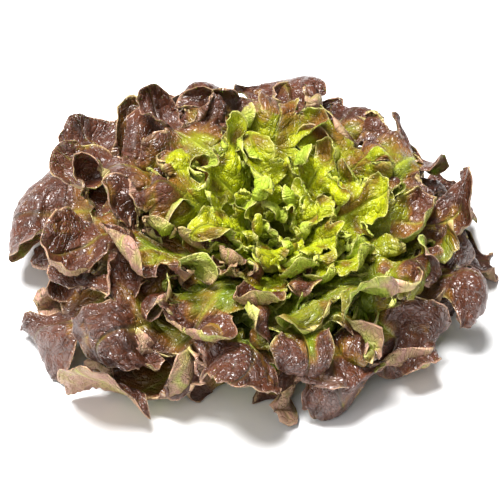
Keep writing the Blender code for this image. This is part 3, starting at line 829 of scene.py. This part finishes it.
def leafMaterial(name):
    # greens to dark red above, paler below, with a painted highlight along the rims, light veins,
    # and finely blistered
    look = leafShade
    made, tree, shader, w = newMaterial(name)
    place = w.objectPlace()
    flat = w.node("ShaderNodeUVMap", {}, "UV", uv_map="flat")
    red, lime, rim, vein = (w.attribute(k) for k in ("red", "lime", "rim", "vein"))
    under, smooth = w.attribute("under"), w.attribute("smooth")
    patch, mottle, speck, broad = (
        w.noise(place, look[k]) for k in ("patch", "mottle", "speck", "broad"))
    swirl = w.noise(flat, look["swirl"], "Color")
    shift = w.maths("MULTIPLY", swirl, look["swirlWidth"], kind="ShaderNodeVectorMath")
    bent = w.maths("ADD", flat, shift, kind="ShaderNodeVectorMath")
    edge = w.voronoi(bent, look["blisterScale"], "DISTANCE_TO_EDGE")
    middle = w.voronoi(bent, look["blisterScale"], "SMOOTH_F1")
    small = w.voronoi(bent, look["blisterScale"] * look["smallScale"], "DISTANCE_TO_EDGE")
    dome = 1 - middle * middle * 1.4
    net = (1 - edge * 11.0).clamped()
    netSmall = (1 - small * 8.0).clamped()

    limeness = (lime + (broad - 0.5) * 0.8 + (patch - 0.5) * 1.6).clamped()
    faded = ((patch - 0.52) * 5.0).clamped() * 0.70
    redness = red * (1 - faded) + (mottle - 0.5) * 0.55 * red + (broad - 0.5) * 0.35 * red
    redness = redness.clamped()
    top = w.mix(limeness, look["green"], look["lime"])
    for shade, (start, gain) in look["redSteps"].items():
        top = w.mix(((redness - start) * gain).clamped(), top, look[shade])
    darkness = ((mottle - 0.40) * 2.4).clamped() * ((redness - 0.3) * 1.4).clamped()
    top = w.mix(darkness, top, look["dark"])
    veined = vein * (1 - 0.92 * redness) * 0.50 + net * 0.06 * (1 - redness)
    top = w.mix(veined.clamped(), top, look["rib"])
    low = w.mix(redness * (0.55 + 0.9 * patch).clamped(), look["underGreen"], look["underRed"])
    low = w.mix((vein * 0.45 + net * 0.12 + netSmall * 0.06).clamped(), low, look["rib"])
    # painted highlight: the rims are painted pale, as if they caught the light
    light = w.mix(redness, look["rimHighlightGreen"], look["rimHighlightRed"])
    colour = w.mix((rim * (0.25 + patch)).clamped(), w.mix(under, top, low), light)

    blistered = (1 - 0.75 * smooth) * (1 - 1.5 * under) * (0.5 + ((broad - 0.35) * 3.4).clamped())
    relief = dome * blistered + speck * 0.10 + mottle * 0.5 - netSmall * 0.10 - net * 0.12
    feed(tree, shader, {
        "Base Color": colour,
        "Roughness": look["roughness"] + 0.24 * under + (speck - 0.5) * 0.16 + 0.06 * (1 - redness),
        "Coat Weight": look["coat"] * (1 - 0.85 * under) * (0.30 + 0.70 * redness),
        "Normal": w.bump(relief, look["bumpStrength"], look["blisterDistance"]),
        "Specular IOR Level": look["specular"][name], "Coat Roughness": look["coatRoughness"],
        "Subsurface Weight": look["subsurface"][name],
        "Subsurface Radius": look["glowColour"], "Subsurface Scale": look["glowDepth"],
    })
    return made


def addFlatMap(mesh, x, y):
    # the UV map is the leaf laid flat, one unit a metre
    corner = np.zeros(len(mesh.loops), np.int32)
    mesh.loops.foreach_get("vertex_index", corner)
    place = np.stack([x, y], -1)[corner % len(x)]
    mesh.uv_layers.new(name="flat").data.foreach_set("uv", place.astype(np.float32).ravel())


def addMesh(name, verts, faces, finish):
    mesh = bpy.data.meshes.new(name)
    mesh.from_pydata(verts.tolist(), [], faces.tolist())
    mesh.materials.append(finish)
    mesh.shade_smooth()
    piece = bpy.data.objects.new(name, mesh)
    bpy.context.scene.collection.objects.link(piece)
    return piece


def leafKind(order):
    # the kind of a leaf and its number among that kind
    outer, middle = head["outerCount"], head["middleCount"]
    if order < outer:
        return "outer_leaf", order + 1
    if order < outer + middle:
        return "middle_leaf", order - outer + 1
    return "heart_leaf", order - outer - middle + 1


def addAttribute(mesh, name, values):
    attribute = mesh.attributes.new(name, "FLOAT", "POINT")
    attribute.data.foreach_set("value", values.astype(np.float32))


def makeLeaves(leaves):
    kinds = ("outer_leaf", "middle_leaf", "heart_leaf")
    finishes = {kind: leafMaterial(kind) for kind in kinds}
    apart = 0.3  # metres from one leaf to the next in the flat map
    total = 0
    for leaf in leaves:
        kind, number = leafKind(leaf["order"])
        verts, faces, flat, made = fineLeaf(leaf)
        piece = addMesh(f"{kind}_{number:02d}_fine", verts, faces, finishes[kind])
        for name, values in leafFields(leaf, flat, made).items():
            addAttribute(piece.data, name, np.tile(values.ravel(), 2))
        addAttribute(piece.data, "under", np.arange(len(verts)) < len(verts) // 2)
        addFlatMap(piece.data, flat["x"].ravel() + apart * leaf["order"], flat["y"].ravel())
        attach(piece, "root")
        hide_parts(f"{kind}_{number:02d}")
        total += len(faces)
    print("leaves:", len(leaves), "triangles:", total)


# The stem

stemShade = {
    "skin": rgb(0.62, 0.64, 0.38), "cut": rgb(0.70, 0.62, 0.42), "brown": rgb(0.36, 0.20, 0.10),
    "cutFade": 900.0, "spots": {"Scale": 160.0, "Detail": 4.0}, "broad": {"Scale": 40.0},
    "roughness": 0.45, "bumpStrength": 0.4, "bumpDistance": 0.0008,
}


def stemMaterial():
    # pale green skin with brown spots, and a browner cut face
    look = stemShade
    made, tree, shader, w = newMaterial("stemSkin")
    place = w.objectPlace()
    spots, broad = w.noise(place, look["spots"]), w.noise(place, look["broad"])
    height = w.node("ShaderNodeSeparateXYZ", {"Vector": place}, "Z")
    cut = (1 - height * look["cutFade"]).clamped()
    brown = ((spots - 0.52) * 3.0).clamped() * (0.3 + 0.6 * cut)
    feed(tree, shader, {
        "Base Color": w.mix(brown, w.mix(cut, look["skin"], look["cut"]), look["brown"]),
        "Roughness": look["roughness"] + broad * 0.25,
        "Normal": w.bump(spots + broad, look["bumpStrength"], look["bumpDistance"]),
    })
    return made


# Floor, light and camera

studio = {
    "azimuth": 0, "elevation": 37, "lens": 111, "distance": 0.86, "target": (-0.0104, 0.0, 0.0302),
    "clipStart": 0.02, "exposure": 0.0, "world": 0.21, "lit": (0, 0, 0.03),
    # kind, place and power, and an area's width in metres or a sun's angle in radians
    "key": ("SUN", (-0.30, 0.10, 1.15), 7.7, 0.50),
    "fill": ("AREA", (-0.5, -1.0, 0.9), 7.0, 1.0),
    "floorHalf": 12.0, "floorRoughness": 0.9, "grain": {"Scale": 3.0},
    "floorShades": (rgb(0.90, 0.90, 0.90), rgb(0.92, 0.92, 0.92)),
}


def addLight(name):
    kind, place, power, size = studio[name]
    lamp = bpy.data.lights.new(name, kind)
    lamp.energy = power
    setattr(lamp, "angle" if kind == "SUN" else "size", size)
    piece = bpy.data.objects.new(name, lamp)
    bpy.context.scene.collection.objects.link(piece)
    piece.location = place
    towards = Vector(studio["lit"]) - Vector(place)
    piece.rotation_euler = towards.to_track_quat("-Z", "Y").to_euler()


def makeFloor():
    verts = np.array([(-1, -1, 0), (1, -1, 0), (1, 1, 0), (-1, 1, 0)]) * studio["floorHalf"]
    made, tree, shader, w = newMaterial("floorWhite")
    grain = w.noise(w.objectPlace(), studio["grain"])
    colour = w.mix(grain, *studio["floorShades"])
    feed(tree, shader, {"Base Color": colour, "Roughness": studio["floorRoughness"]})
    floor = addMesh("floor", verts, np.array([(0, 1, 2), (0, 2, 3)]), made)


def makeCamera():
    camera = bpy.data.objects.new("camera", bpy.data.cameras.new("camera"))
    bpy.context.scene.collection.objects.link(camera)
    az, el = math.radians(studio["azimuth"]), math.radians(studio["elevation"])
    back = Vector((math.sin(az) * math.cos(el), -math.cos(az) * math.cos(el), math.sin(el)))
    camera.location = Vector(studio["target"]) + back * studio["distance"]
    camera.rotation_euler = (-back).to_track_quat("-Z", "Y").to_euler()
    camera.data.lens = studio["lens"]
    camera.data.clip_start = studio["clipStart"]
    return camera


def makeStudio():
    scene = bpy.context.scene
    makeFloor()
    scene.world = bpy.data.worlds.new("studio")
    scene.world.use_nodes = True
    background = scene.world.node_tree.nodes["Background"]
    background.inputs["Color"].default_value = rgb(1, 1, 1)
    background.inputs["Strength"].default_value = studio["world"]
    addLight("key")
    addLight("fill")
    scene.camera = makeCamera()
    scene.view_settings.view_transform = "Standard"
    scene.view_settings.exposure = studio["exposure"]


makeStudio()
print("studio: floor, lights and camera")
leaves = arrangeLeaves()
print("arranged leaves:", len(leaves))
makeLeaves(leaves)
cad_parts["stem"].material_slots[0].material = stemMaterial()
print("stem: finish")
